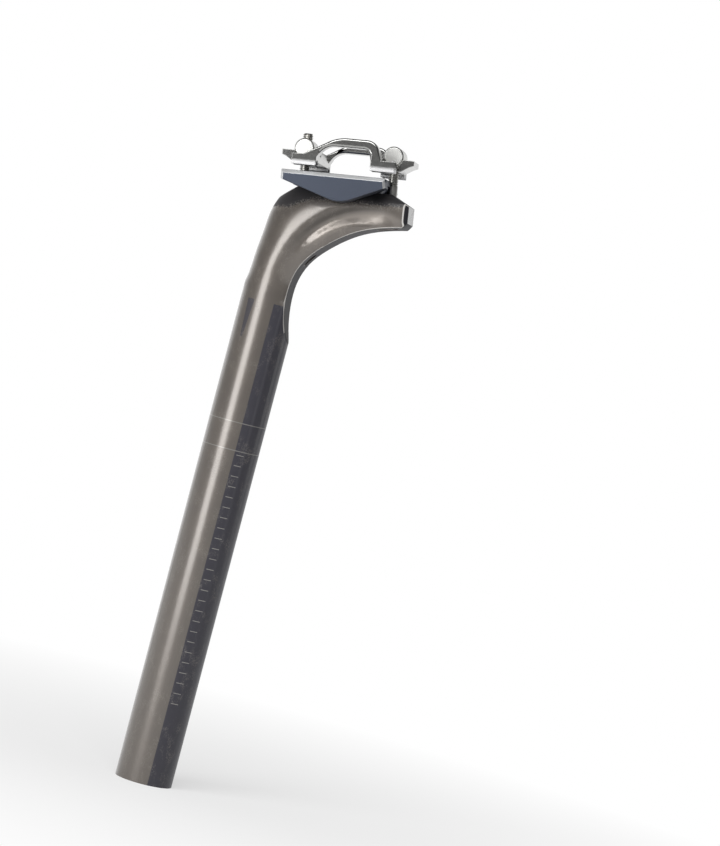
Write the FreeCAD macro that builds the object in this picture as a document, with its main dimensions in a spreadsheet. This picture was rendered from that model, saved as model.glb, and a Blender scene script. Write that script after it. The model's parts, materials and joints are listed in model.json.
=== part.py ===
"""Suspension seatpost: a hollow carbon post whose slim, set-back neck flexes, with a two-bolt rail clamp.

Millimetres. +Z runs up the shaft's axis from the centre of its lower end, +X points to the rear of the
bicycle, and the post is symmetrical about the XZ plane.  The clamp has a frame of its own: its origin is
midway between the two rails, its X runs rearwards along them, and its Z stands square to them.
"""
import FreeCAD
import Part
import Sketcher
import math
import os

# Driving dimensions: alias, value, what it is.
SIZES = [
    ("post_diameter", 27.2, "outside of the round shaft"),
    ("post_wall", 2.6, "wall of the shaft and neck"),
    ("post_length", 300.0, "lower end of the shaft up to the rails' centre height"),
    ("setback", 21.0, "rails' clamp centre behind the shaft's axis"),
    ("clamp_angle", 9.0, "rise of the rails to the rear, from square to the shaft"),
    ("end_chamfer", 0.8, "break on the bore's lower edge"),
    ("scoop_depth", 5.0, "how far the flat rear face is let into the round shaft"),
    ("scoop_drop", 63.8, "slimmest place of the neck below the rails' centre"),
    ("scoop_run", 22.0, "from the slimmest place down to the scoop's lower end"),
    ("bend_radius", 34.2, "least distance from the bend's centre to the flat underside"),
    ("bend_lead", 4.2, "the neck's slimmest place further from the bend's centre than that"),
    ("underside_drop", 22.8, "highest place of the bend's underside below the rails' centre"),
    ("head_half_width", 14.2, "half the head's width"),
    ("head_reach", 31.0, "rear end of the head behind the clamp centre, along the rails"),
    ("head_end_chamfer", 2.2, "break round the head's rear end"),
    ("head_depth", 23.2, "head's underside below the rails' centre, at its rear end"),
    ("flute_depth", 1.5, "depth of the channel along each side of the cantilever"),
    ("flute_width", 5.4, "width of the channel at a third of its depth"),
    ("flute_offset", 4.5, "channel's middle from the crest ahead of it or above it"),
    ("shoulder_drop", 8.1, "head's top below the rails' centre"),
    ("shoulder_front", 22.9, "front corner of the head's top ahead of the clamp centre"),
    ("shoulder_rear", 22.3, "rear corner of the head's top behind the clamp centre"),
    ("front_bevel_angle", 34.0, "slope of the front bevel of the head's top"),
    ("rear_bevel_angle", 29.0, "slope of the rear bevel of the head's top"),
    ("side_bevel_angle", 36.0, "lean of the bevels along both sides of the head's top"),
    ("side_bevel_drop", 13.2, "lower edge of those bevels below the rails' centre"),
    ("ceiling_thickness", 3.5, "head's wall under the rocker seat"),
    ("cavity_reach", 6.0, "rear end of the hollow behind the clamp centre"),
    ("rail_diameter", 7.0, "saddle rail"),
    ("rail_spacing", 44.0, "between the rails' centres"),
    ("rail_clearance", 0.05, "between a rail and its groove"),
    ("rocker_radius", 22.5, "cradle's round underside"),
    ("rocker_clearance", 0.1, "between the rocker and its seat"),
    ("rocker_axis_rise", 9.6, "rocker's axis above the rails' centre, at the nuts' height"),
    ("cradle_half_width", 27.2, "half the cradle's width over its side plates"),
    ("cradle_front", 28.2, "front end of the cradle ahead of the clamp centre"),
    ("cradle_rear", 19.9, "rear end of the cradle behind the clamp centre"),
    ("cradle_top_drop", 1.8, "cradle's top below the rails' centre"),
    ("cradle_end_depth", 4.5, "height of the cradle's end faces"),
    ("cradle_tip_drop", 14.4, "lowest point of the side plates below the rails' centre"),
    ("cradle_tip_radius", 15.0, "rounding of the side plates' lowest point"),
    ("cradle_deck", 2.8, "thickness of the cradle's deck between the rails"),
    ("straddle_clearance", 1.3, "between the head's side and the cradle's cheek"),
    ("cheek_wall", 2.4, "cheek beside the head, and wall of the side plates"),
    ("plate_bevel", 1.8, "bevel on the side plates' top edges"),
    ("plate_break", 1.1, "bevel on the side plates' end edges"),
    ("yoke_half_width", 26.6, "half the yoke's width over its arches"),
    ("arch_width", 8.8, "width of each arch"),
    ("foot_gap", 1.0, "yoke's feet above the rails' centre"),
    ("foot_inner", 12.6, "inner end of the feet from the clamp centre"),
    ("foot_outer", 24.0, "outer end of the feet from the clamp centre"),
    ("foot_top", 6.0, "feet's top above the rails' centre"),
    ("arch_top", 14.9, "arches' crown above the rails' centre"),
    ("arch_thickness", 4.2, "thickness of the arches' crown"),
    ("arch_round", 18.0, "rounding of the arches' outside at the front"),
    ("tab_reach", 31.0, "end of the nut tabs from the clamp centre"),
    ("tab_half_width", 10.5, "half the width of the nut tabs"),
    ("tab_top", 8.3, "tabs' top above the rails' centre"),
    ("tab_tip", 3.2, "thickness of the tabs' tips"),
    ("tab_bottom", 2.6, "tabs' underside above the rails' centre, under the nuts"),
    ("bolt_offset", 21.0, "bolts' axes from the clamp centre"),
    ("nut_diameter", 9.4, "barrel nuts"),
    ("nut_length", 18.0, "barrel nuts"),
    ("nut_clearance", 0.05, "between a barrel nut and its groove"),
    ("bolt_diameter", 4.9, "plain shank of the M5 bolts"),
    ("thread_diameter", 4.48, "bolts' thread, at its pitch diameter"),
    ("nut_bore", 5.2, "thread of the barrel nuts"),
    ("thread_length", 20.0, "bolts' thread"),
    ("bolt_length", 35.0, "front bolt from under its head to its tip"),
    ("rear_bolt_length", 30.0, "rear bolt from under its head to its tip"),
    ("bolt_head_diameter", 8.5, "bolts' cap head"),
    ("bolt_head_height", 5.0, "bolts' cap head"),
    ("bolt_socket", 4.0, "across the flats of the bolts' socket"),
    ("bolt_socket_depth", 2.6, "bolts' socket"),
    ("bolt_hole", 5.5, "holes for the bolts in the head"),
    ("bolt_play", 7.4, "width of the openings round the bolts in the yoke and cradle"),
    ("cradle_slot", 4.8, "half the length of the cradle's front slot"),
    ("cradle_notch", 5.2, "notch of the cradle's rear end ahead of the rear bolt"),
    ("washer_diameter", 9.8, "washers under the bolts' heads"),
    ("washer_thickness", 1.5, "washers under the bolts' heads"),
    ("recess_clearance", 0.4, "round the rear washer in its recess"),
    ("port_diameter", 7.0, "tool port to the front bolt"),
    ("port_angle", 20.0, "tool port from the front bolt's axis"),
]

# Sections of the bend on rays from its centre: angle, how much further than the neck's own depth the front
# lies, crest beyond the ray's middle line, squareness ahead of the crest and behind it, share of the flute.
BEND = [
    (180, -0.7, 0.0, 2.0, 2.0, 0.0),
    (170, -0.5, 0.1, 2.0, 2.1, 0.1),
    (160, 1.3, 0.2, 1.9, 2.4, 0.35),
    (150, 5.1, 0.3, 1.75, 3.0, 0.7),
    (141, 6.9, 0.4, 1.65, 3.8, 0.95),
    (132, 5.4, 0.4, 1.7, 4.4, 1.0),
    (122, 0.4, 0.0, 1.9, 4.6, 1.0),
    (112, -3.1, -1.2, 2.2, 4.6, 1.0),
    (102, -4.6, -1.9, 2.5, 4.6, 0.7),
    (92, -4.6, -2.0, 2.7, 4.6, 0.2),
]
FLAT_MARGIN = 3.0    # sections reach this much past the flat underside, which is then cut
TOP_MARGIN = 4.0     # and the rear ones this much past the head's top
LEAD_IN = (13.0, 10.0, 7.0, 3.5)    # round sections this far below the bend's centre
LAP = 0.05           # the bend's round sections lie this much inside the shaft that they run into
QUARTERS = (10, 7, 7, 10)    # points in each quarter of a section
FINE = 80            # steps of a quarter's fine outline
BIG = 200.0          # past every side of the post
XY_ROLE, XZ_ROLE, YZ_ROLE = "XY_Plane", "XZ_Plane", "YZ_Plane"
X_AXIS, Y_AXIS, Z_AXIS = (FreeCAD.Vector(*axis) for axis in ((1, 0, 0), (0, 1, 0), (0, 0, 1)))

doc = FreeCAD.newDocument("suspension_seatpost")


def make_sheet():
    """The sheet of driving dimensions, one row each."""
    table = doc.addObject("Spreadsheet::Sheet", "Sizes")
    for row, (alias, value, meaning) in enumerate(SIZES, 1):
        table.set(f"A{row}", meaning)
        table.set(f"B{row}", str(value))
        table.setAlias(f"B{row}", alias)
    doc.recompute()
    return table


sheet = make_sheet()


def size(alias):
    """A driving dimension read from the sheet."""
    return float(sheet.get(alias))


def bound(text):
    """An expression on the sheet: every alias in the text gets the sheet's name before it."""
    words = {alias for alias, _, _ in SIZES}
    out, word = "", ""
    for letter in text + " ":
        if letter.isalnum() or letter == "_":
            word += letter
            continue
        out += ("Sizes." + word if word in words else word) + letter
        word = ""
    return out.strip()


# ---------------------------------------------------------------- clamp frame

def clamp_placement():
    """The clamp's frame in the post's frame."""
    turn = FreeCAD.Rotation(Y_AXIS, -size("clamp_angle"))
    return FreeCAD.Placement(FreeCAD.Vector(size("setback"), 0, size("post_length")), turn)


def clamp_point(along, up, across=0.0):
    """A point of the clamp's frame in the post's frame."""
    return clamp_placement().multVec(FreeCAD.Vector(along, across, up))


def clamp_cylinder(along, bottom, top, diameter):
    """A cylinder square to the rails, between two heights of the clamp's frame."""
    axis = clamp_placement().Rotation.multVec(FreeCAD.Vector(0, 0, 1))
    return Part.makeCylinder(diameter / 2, top - bottom, clamp_point(along, bottom), axis)


# ---------------------------------------------------------------- sketches and features

def new_body(label):
    """An empty PartDesign body in the clamp's frame."""
    body = doc.addObject("PartDesign::Body", label)
    body.Label = label
    body.Placement = clamp_placement()
    return body


def new_sketch(body, role, name, lift="0"):
    """A sketch on one of the body's own planes, lifted along the plane's normal by an expression."""
    sketch = body.newObject("Sketcher::SketchObject", name)
    plane = [item for item in body.Origin.OriginFeatures if item.Role == role][0]
    sketch.AttachmentSupport = [(plane, "")]
    sketch.MapMode = "FlatFace"
    sketch.setExpression("AttachmentOffset.Base.z", bound(lift))
    return sketch


def hold(sketch, kind, first, second, text):
    """A distance from the sketch's origin, bound to an expression."""
    index = sketch.addConstraint(Sketcher.Constraint(kind, -1, 1, first, second, 1.0))
    sketch.setExpression(f"Constraints[{index}]", bound(text))


def value_of(text):
    """The number that an expression stands for."""
    return float(sheet.evalExpression(text))


def polygon(sketch, corners):
    """A closed outline whose corners are pairs of expressions."""
    first = sketch.GeometryCount
    spots = [FreeCAD.Vector(value_of(x), value_of(y), 0) for x, y in corners]
    count = len(spots)
    for index in range(count):
        sketch.addGeometry(Part.LineSegment(spots[index], spots[(index + 1) % count]), False)
    for index in range(count):
        following = first + (index + 1) % count
        sketch.addConstraint(Sketcher.Constraint("Coincident", first + index, 2, following, 1))
    for index, (x, y) in enumerate(corners):
        hold(sketch, "DistanceX", first + index, 1, x)
        hold(sketch, "DistanceY", first + index, 1, y)


def rectangle(sketch, left, right, low, high):
    """A rectangle between four expressions."""
    polygon(sketch, [(left, low), (right, low), (right, high), (left, high)])


def circle(sketch, x, y, diameter):
    """A circle whose centre and diameter are expressions."""
    spot = FreeCAD.Vector(value_of(x), value_of(y), 0)
    index = sketch.addGeometry(Part.Circle(spot, FreeCAD.Vector(0, 0, 1), value_of(diameter) / 2), False)
    hold(sketch, "DistanceX", index, 3, x)
    hold(sketch, "DistanceY", index, 3, y)
    ring = sketch.addConstraint(Sketcher.Constraint("Diameter", index, value_of(diameter)))
    sketch.setExpression(f"Constraints[{ring}]", bound(diameter))


def pad(body, sketch, length, midplane=False, reverse=False):
    """Material added from a sketch by an expression's length."""
    feature = body.newObject("PartDesign::Pad", "Pad")
    feature.Profile = sketch
    feature.setExpression("Length", bound(length))
    feature.Midplane = midplane
    feature.Reversed = reverse
    return feature


def pocket(body, sketch, length, midplane=False, reverse=False):
    """Material taken from a sketch by an expression's length."""
    feature = body.newObject("PartDesign::Pocket", "Pocket")
    feature.Profile = sketch
    feature.setExpression("Length", bound(length))
    feature.Midplane = midplane
    feature.Reversed = reverse
    return feature


def edges_near(body, test):
    """Names of the edges of a body whose middle, in the clamp's frame, meets a test."""
    doc.recompute()
    names = []
    shape = body.Tip.Shape
    for number, edge in enumerate(shape.Edges, 1):
        middle = edge.valueAt((edge.FirstParameter + edge.LastParameter) / 2)
        if test(middle, edge):
            names.append(f"Edge{number}")
    return names


def dress(body, kind, names, text):
    """A fillet or a chamfer on named edges, of an expression's size."""
    feature = body.newObject("PartDesign::" + kind, kind)
    feature.Base = (body.Tip if body.Tip is not feature else feature.BaseFeature, names)
    feature.setExpression("Radius" if kind == "Fillet" else "Size", bound(text))
    return feature


# ---------------------------------------------------------------- the post

def evenly(outline, count):
    """Points at equal distances along a fine outline, its two ends included."""
    travelled = [0.0]
    for index in range(1, len(outline)):
        travelled.append(travelled[-1] + outline[index].distanceToPoint(outline[index - 1]))
    spots = [outline[0]]
    index = 1
    for step in range(1, count):
        target = travelled[-1] * step / count
        while travelled[index] < target:
            index += 1
        share = (target - travelled[index - 1]) / (travelled[index] - travelled[index - 1])
        spots.append(outline[index - 1] + (outline[index] - outline[index - 1]) * share)
    return spots + [outline[-1]]


def ring(crest, radial, ahead, behind, half_width, front, rear, flute):
    """Points round a section square to the side view, which is widest at its crest.

    It reaches one depth ahead of the crest and another behind it, each with its own squareness: 2 is
    round and more is boxier. A flute runs behind the crest. They start and end in the middle of the rear
    or under side, with as many points in each quarter as in the same quarter of every other section."""
    offset, spread = size("flute_offset"), size("flute_width") / 2
    spots = []
    for quarter, count in enumerate(QUARTERS):
        reach, power = (behind, rear) if quarter in (0, 3) else (ahead, front)
        outline = []
        for step in range(FINE + 1):
            turn = (quarter - 1 + step / FINE) * math.pi / 2
            side, depth = math.cos(turn), math.sin(turn)
            place = reach * math.copysign(abs(depth) ** (2 / power), depth)
            across = half_width * abs(side) ** (2 / power) - flute * math.exp(-((place + offset) / spread) ** 2)
            across = math.copysign(max(across, 0), side) if abs(side) > 1e-9 else 0.0
            outline.append(crest + radial * place + Y_AXIS * across)
        spots += evenly(outline, count)[:-1]
    return spots + spots[:1]


def skinned(rings):
    """A closed solid whose skin passes smoothly through rings of points."""
    surface = Part.BSplineSurface()
    surface.interpolate(rings)
    skin = surface.toShape()
    caps = []
    for spots in (rings[0], rings[-1]):
        ends = [edge for edge in skin.Edges if edge.distToShape(Part.Vertex(spots[3]))[0] < 0.01
                and edge.distToShape(Part.Vertex(spots[9]))[0] < 0.01]
        caps.append(Part.Face(Part.Wire(ends[:1])))
    shell = Part.Shell([skin] + caps)
    shell.sewShape()
    solid = Part.Solid(shell)
    if solid.Volume < 0:
        solid.reverse()
    return solid


def bend_centre():
    """The point that the neck's bend turns about."""
    ahead = size("post_diameter") / 2 - size("scoop_depth")
    height = size("post_length") - size("underside_drop")
    return FreeCAD.Vector(ahead + size("bend_lead"), 0, height) + (X_AXIS - Z_AXIS) * size("bend_radius")


def on_ray(angle, distance):
    """A point at a distance from the bend's centre."""
    turn = math.radians(angle)
    return bend_centre() + FreeCAD.Vector(math.cos(turn), 0, math.sin(turn)) * distance


def bend_rings(inset, reach):
    """The sections from the round shaft to the head's rear end; the cavity's are inset by the wall."""
    radius = size("post_diameter") / 2 - inset
    half = size("head_half_width") - inset
    middle = bend_centre().x
    channel = 0 if inset else size("flute_depth")
    rings = []
    for drop in LEAD_IN:
        level = FreeCAD.Vector(0, 0, bend_centre().z - drop)
        rings.append(ring(level, -X_AXIS, radius - LAP, radius - LAP, radius - LAP, 2, 2, 0))
    inner = size("bend_radius") - FLAT_MARGIN + inset
    for angle, further, crest, front, rear, flute in BEND:
        near = middle - radius if rear == 2 else inner
        widest = middle + crest
        radial = (on_ray(angle, 1) - bend_centre()).normalize()
        width = radius + (half - radius) * min(1, (rear - 2) / 0.6)
        rings.append(ring(on_ray(angle, widest), radial, middle + radius + further - widest, widest - near,
                          width, front, rear, flute * channel))
    low = -size("head_depth") - FLAT_MARGIN + inset
    high = -size("shoulder_drop") + TOP_MARGIN - inset
    widest = (2 * low + 3 * high) / 5
    radial = clamp_placement().Rotation.multVec(Z_AXIS)
    front, rear = BEND[-1][3:5]
    rings.append(ring(clamp_point(reach, widest), radial, high - widest, widest - low, half, front, rear, 0))
    return rings


def side_profile(wire):
    """A closed side-view outline swept right across the post."""
    face = Part.Face(wire)
    face.translate(Y_AXIS * -BIG / 2)
    return face.extrude(Y_AXIS * BIG)


def under_flat(inset):
    """Everything behind the flat rear face and under the flat underside, moved inwards by an inset."""
    edge = size("post_diameter") / 2 - inset
    slim = size("post_length") - size("scoop_drop")
    radius = size("bend_radius") + inset
    spots = [
        FreeCAD.Vector(edge + 0.8, 0, slim - size("scoop_run")),
        FreeCAD.Vector(edge - size("scoop_depth"), 0, slim),
        on_ray(165, radius + 2.8),
        on_ray(140, radius),
        on_ray(111, radius + 0.3),
        on_ray(92, radius + 2.4),
        clamp_point(size("head_reach") + 6, -size("head_depth") + 0.3 + inset),
    ]
    curve = Part.BSplineCurve()
    curve.interpolate(spots)
    corner = FreeCAD.Vector(spots[-1].x + BIG, 0, spots[-1].z)
    low = FreeCAD.Vector(corner.x, 0, spots[0].z)
    lines = [Part.makeLine(spots[-1], corner), Part.makeLine(corner, low), Part.makeLine(low, spots[0])]
    return side_profile(Part.Wire([curve.toShape()] + lines))


def over_head():
    """Everything above the head: bevels, shoulders and the round seat of the rocker."""
    seat = size("rocker_radius") + size("rocker_clearance")
    rise = size("rocker_axis_rise")
    level = -size("shoulder_drop")
    half = math.sqrt(seat ** 2 - (rise - level) ** 2)
    front, rear = -size("shoulder_front"), size("shoulder_rear")
    run = BIG / 4
    fall_front = run * math.tan(math.radians(size("front_bevel_angle")))
    fall_rear = run * math.tan(math.radians(size("rear_bevel_angle")))
    arc = Part.Arc(clamp_point(-half, level), clamp_point(0, rise - seat), clamp_point(half, level))
    corners = [
        clamp_point(half, level),
        clamp_point(rear, level),
        clamp_point(rear + run, level - fall_rear),
        clamp_point(rear + run, BIG / 4),
        clamp_point(front - run, BIG / 4),
        clamp_point(front - run, level - fall_front),
        clamp_point(front, level),
        clamp_point(-half, level),
    ]
    lines = [Part.makeLine(corners[i], corners[i + 1]) for i in range(len(corners) - 1)]
    return side_profile(Part.Wire([arc.toShape()] + lines))


def side_bevels():
    """What the bevels along both sides of the head's top take away."""
    half, foot = size("head_half_width") + LAP, -size("side_bevel_drop")
    lean = math.tan(math.radians(size("side_bevel_angle")))
    pieces = []
    for side in (-1, 1):
        inner = side * (half - (BIG / 4 - foot) * lean)
        corners = [(side * half, foot), (inner, BIG / 4), (side * BIG, BIG / 4), (side * BIG, foot)]
        spots = [clamp_point(-BIG, up, across) for across, up in corners + corners[:1]]
        face = Part.Face(Part.makePolygon(spots))
        pieces.append(face.extrude(clamp_placement().Rotation.multVec(X_AXIS) * 2 * BIG))
    return pieces


def end_bevels():
    """What the bevels at the sides and foot of the head's rear end take away."""
    reach, width = size("head_reach"), size("head_end_chamfer")
    half, run = size("head_half_width"), BIG / 4
    rails, square = (clamp_placement().Rotation.multVec(axis) for axis in (X_AXIS, Z_AXIS))
    pieces = []
    for side in (-1, 1):
        corners = [(reach - width - run, half + run), (reach + run, half - width - run), (reach + run, half + run)]
        spots = [clamp_point(along, -BIG, side * across) for along, across in corners + corners[:1]]
        pieces.append(Part.Face(Part.makePolygon(spots)).extrude(square * 2 * BIG))
    foot = size("head_depth")
    corners = [(reach - width - run, -foot - run), (reach + run, width - foot + run), (reach + run, -foot - run)]
    spots = [clamp_point(along, up, -BIG) for along, up in corners + corners[:1]]
    return pieces + [Part.Face(Part.makePolygon(spots)).extrude(Y_AXIS * 2 * BIG)]


def clamp_block(front, rear, low, high):
    """A block right across the post between four distances of the clamp's frame."""
    block = Part.makeBox(rear - front, BIG, high - low, FreeCAD.Vector(front, -BIG / 2, low))
    block.Placement = clamp_placement().multiply(block.Placement)
    return block


def ceiling():
    """Height of the cavity's roof, under the rocker's seat."""
    seat = size("rocker_radius") + size("rocker_clearance")
    return size("rocker_axis_rise") - seat - size("ceiling_thickness")


def post_cavity():
    """The hollow of the shaft, neck and front of the head."""
    wall = size("post_wall")
    bore = Part.makeCylinder(size("post_diameter") / 2 - wall, bend_centre().z - LEAD_IN[1])
    hollow = bore.fuse(skinned(bend_rings(wall, size("head_reach"))))
    hollow = hollow.cut(under_flat(wall))
    roof = ceiling()
    hollow = hollow.cut(clamp_block(-BIG, BIG, roof, BIG))
    return hollow.cut(clamp_block(size("cavity_reach"), BIG, -BIG, roof + BIG))


def tool_port():
    """The round port in the flat rear face through which a ball-ended key reaches the front bolt."""
    start = clamp_point(-size("bolt_offset"), ceiling() - size("washer_thickness") - size("bolt_head_height"))
    turn = FreeCAD.Rotation(Y_AXIS, -size("port_angle"))
    axis = clamp_placement().Rotation.multVec(turn.multVec(-Z_AXIS))
    reach = size("underside_drop") + size("bend_radius")
    return Part.makeCylinder(size("port_diameter") / 2, reach, start + axis * 8, axis)


def make_post():
    """The one-piece carbon post."""
    shaft = Part.makeCylinder(size("post_diameter") / 2, bend_centre().z - LEAD_IN[1])
    reach = size("head_reach")
    solid = shaft.fuse(skinned(bend_rings(0, reach + FLAT_MARGIN)))
    solid = solid.cut(under_flat(0)).cut(over_head()).cut(side_bevels())
    solid = solid.cut(clamp_block(reach, BIG, -BIG, BIG)).cut(end_bevels())
    bore, chamfer = size("post_diameter") / 2 - size("post_wall"), size("end_chamfer")
    solid = solid.cut(post_cavity()).cut(Part.makeCone(bore + chamfer, bore, chamfer))
    offset = size("bolt_offset")
    for along in (-offset, offset):
        solid = solid.cut(clamp_cylinder(along, -BIG / 8, 0, size("bolt_hole")))
    recess = size("washer_diameter") + 2 * size("recess_clearance")
    solid = solid.cut(clamp_cylinder(offset, -BIG / 4, ceiling(), recess))
    solid = solid.cut(tool_port())
    post = doc.addObject("Part::Feature", "post")
    post.Label = "post"
    post.Shape = solid
    return post


# ---------------------------------------------------------------- the clamp

def make_cradle():
    """The lower clamp: a round rocker between two kite-shaped side plates, with a groove for each rail."""
    body = new_body("lower_cradle")
    front, rear = "-cradle_front", "cradle_rear"
    top, foot = "-cradle_top_drop", "-cradle_top_drop - cradle_end_depth"
    kite = new_sketch(body, XZ_ROLE, "KiteOutline")
    polygon(kite, [(front, top), (front, foot), ("0", "-cradle_tip_drop - 1"), (rear + " + 0.8", foot), (rear, top)])
    pad(body, kite, "2 * cradle_half_width", midplane=True)
    tips = edges_near(body, lambda spot, edge: abs(spot.x) < 1 and spot.z < -size("cradle_tip_drop") / 2)
    dress(body, "Fillet", tips, "cradle_tip_radius")

    inner = "head_half_width + straddle_clearance"
    deck = "-cradle_top_drop - cradle_deck"
    bays = new_sketch(body, XZ_ROLE, "HeadBay")
    seat = value_of("sqrt(rocker_radius^2 - (rocker_axis_rise - (" + deck + "))^2)")
    rocker_outline(bays, deck, seat)
    pocket(body, bays, "2 * (" + inner + ")", midplane=True)

    grooves = new_sketch(body, YZ_ROLE, "RailGrooves")
    for side in ("", "-"):
        circle(grooves, side + "rail_spacing / 2", "0", "rail_diameter + 2 * rail_clearance")
    pocket(body, grooves, "4 * cradle_front", midplane=True)

    hollows = new_sketch(body, XY_ROLE, "PlateHollows", lift=foot + " - 0.6")
    for side in ("", "-"):
        low, high = side + "(" + inner + " + cheek_wall)", side + "(cradle_half_width - cheek_wall)"
        rectangle(hollows, "-cradle_front + 2 * cheek_wall", rear + " - cheek_wall", low, high)
    pocket(body, hollows, "cradle_tip_drop", reverse=True)

    slots = new_sketch(body, XY_ROLE, "BoltSlots")
    half = "bolt_play / 2"
    rectangle(slots, "-bolt_offset - cradle_slot", "-bolt_offset + cradle_slot", "-" + half, half)
    rectangle(slots, "bolt_offset - cradle_notch", "cradle_rear + 2", "-" + half, half)
    pocket(body, slots, "2 * cradle_tip_drop", midplane=True)

    for at_end, width in ((False, "plate_bevel"), (True, "plate_break")):
        rims = edges_near(body, lambda spot, edge: on_plate_rim(spot, at_end))
        dress(body, "Chamfer", rims, width)
    return body


def on_plate_rim(spot, at_end):
    """Whether an edge's middle lies on a side plate's outer face, at either end or along its top."""
    outside = abs(abs(spot.y) - size("cradle_half_width")) < 1e-3
    end = spot.x < -size("cradle_front") + 0.1 or spot.x > size("cradle_rear") - 0.1
    return outside and (end if at_end else spot.z > -size("cradle_top_drop") - 0.1)


def rocker_outline(sketch, deck, seat):
    """The space under the deck that leaves the round rocker standing."""
    rise, radius = value_of("rocker_axis_rise"), value_of("rocker_radius")
    level, low = value_of(deck), -2 * value_of("cradle_tip_drop")
    reach = 2 * value_of("cradle_front")
    spots = [(seat, level), (reach, level), (reach, low), (-reach, low), (-reach, level), (-seat, level)]
    texts = [None, ("2 * cradle_front", deck), ("2 * cradle_front", "-2 * cradle_tip_drop"),
             ("-2 * cradle_front", "-2 * cradle_tip_drop"), ("-2 * cradle_front", deck), None]
    vectors = [FreeCAD.Vector(x, y, 0) for x, y in spots]
    for index in range(5):
        sketch.addGeometry(Part.LineSegment(vectors[index], vectors[index + 1]), False)
    turn = math.acos((rise - level) / radius)
    round_ = Part.Circle(FreeCAD.Vector(0, rise, 0), Z_AXIS, radius)
    sketch.addGeometry(Part.ArcOfCircle(round_, -math.pi / 2 - turn, -math.pi / 2 + turn), False)
    for index in range(4):
        sketch.addConstraint(Sketcher.Constraint("Coincident", index, 2, index + 1, 1))
    sketch.addConstraint(Sketcher.Constraint("Coincident", 4, 2, 5, 1))
    sketch.addConstraint(Sketcher.Constraint("Coincident", 5, 2, 0, 1))
    for index in (1, 2, 3, 4):
        hold(sketch, "DistanceX", index, 1, texts[index][0])
        hold(sketch, "DistanceY", index, 1, texts[index][1])
    hold(sketch, "DistanceY", 0, 1, deck)
    hold(sketch, "DistanceY", 4, 2, deck)
    hold(sketch, "DistanceX", 5, 3, "0")
    hold(sketch, "DistanceY", 5, 3, "rocker_axis_rise")
    ring_size = sketch.addConstraint(Sketcher.Constraint("Radius", 5, radius))
    sketch.setExpression(f"Constraints[{ring_size}]", bound("rocker_radius"))


def make_yoke():
    """The upper clamp: two arches over the rails, joined by a tab for each barrel nut."""
    body = new_body("upper_yoke")
    inner = "yoke_half_width - arch_width"
    feet = new_sketch(body, XZ_ROLE, "Feet")
    for side in ("", "-"):
        rectangle(feet, side + "foot_inner", side + "foot_outer", "foot_gap", "foot_top")
    pad(body, feet, "2 * yoke_half_width", midplane=True)

    arch = new_sketch(body, XZ_ROLE, "Arches")
    crown_in = "arch_top - arch_thickness"
    polygon(arch, [
        ("-foot_outer + 3.5", "foot_top - 1"), ("-foot_inner * 0.3", "arch_top"),
        ("foot_inner * 1.18", "arch_top"), ("foot_inner + 5", "foot_top - 1"), ("foot_inner", "foot_top - 1"),
        ("foot_inner - 1.2", crown_in), ("-foot_inner * 0.72", crown_in), ("-foot_inner", "foot_top - 1"),
    ])
    pad(body, arch, "2 * yoke_half_width", midplane=True)
    level = size("arch_top")
    for height, side, radius in ((level, -1, "arch_round"), (level, 1, "arch_round / 3"),
                                 (level - size("arch_thickness"), -1, "arch_round / 2.2"),
                                 (level - size("arch_thickness"), 1, "arch_thickness - 1.4")):
        corner = edges_near(body, lambda spot, edge: abs(spot.z - height) < 0.01 and abs(spot.y) < 1
                            and side * spot.x > 0 and edge.Length > size("yoke_half_width"))
        dress(body, "Fillet", corner, radius)

    middle = new_sketch(body, XY_ROLE, "Middle")
    rectangle(middle, "-2 * tab_reach", "2 * tab_reach", "-(" + inner + ")", inner)
    pocket(body, middle, "4 * arch_top", midplane=True)

    bridge = new_sketch(body, XZ_ROLE, "Bridges")
    for side in ("", "-"):
        polygon(bridge, [
            (side + "foot_inner", "tab_bottom"), (side + "(foot_outer + 1)", "tab_bottom"),
            (side + "(tab_reach - 2)", "tab_top - tab_tip"), (side + "tab_reach", "tab_top - tab_tip + 0.8"),
            (side + "tab_reach", "tab_top"), (side + "foot_inner", "tab_top"),
        ])
    pad(body, bridge, "2 * tab_half_width", midplane=True)
    webs = new_sketch(body, XZ_ROLE, "Webs")
    for side in ("", "-"):
        rectangle(webs, side + "foot_inner", side + "(foot_outer - 2)", "tab_bottom", "foot_top")
    pad(body, webs, "2 * (" + inner + ") + 1", midplane=True)

    grooves = new_sketch(body, YZ_ROLE, "RailGrooves")
    for side in ("", "-"):
        circle(grooves, side + "rail_spacing / 2", "0", "rail_diameter + 2 * rail_clearance")
    pocket(body, grooves, "4 * tab_reach", midplane=True)
    cradles = new_sketch(body, XZ_ROLE, "NutGrooves")
    for side in ("", "-"):
        circle(cradles, side + "bolt_offset", "rocker_axis_rise", "nut_diameter + 2 * nut_clearance")
    pocket(body, cradles, "2 * (" + inner + ") + 0.6", midplane=True)
    holes = new_sketch(body, XY_ROLE, "BoltHoles")
    for side in ("", "-"):
        circle(holes, side + "bolt_offset", "0", "bolt_play")
    pocket(body, holes, "4 * arch_top", midplane=True)
    return body


def make_nut(label, side):
    """A barrel nut that lies across its tab and turns in the tab's groove."""
    body = new_body(label)
    along = side + "bolt_offset"
    barrel = new_sketch(body, XZ_ROLE, "Barrel")
    circle(barrel, along, "rocker_axis_rise", "nut_diameter")
    pad(body, barrel, "nut_length", midplane=True)
    rims = edges_near(body, lambda spot, edge: isinstance(edge.Curve, Part.Circle))
    dress(body, "Chamfer", rims, "nut_diameter / 14")
    thread = new_sketch(body, XY_ROLE, "Thread")
    circle(thread, along, "0", "nut_bore")
    pocket(body, thread, "4 * arch_top", midplane=True)
    return body


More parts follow.
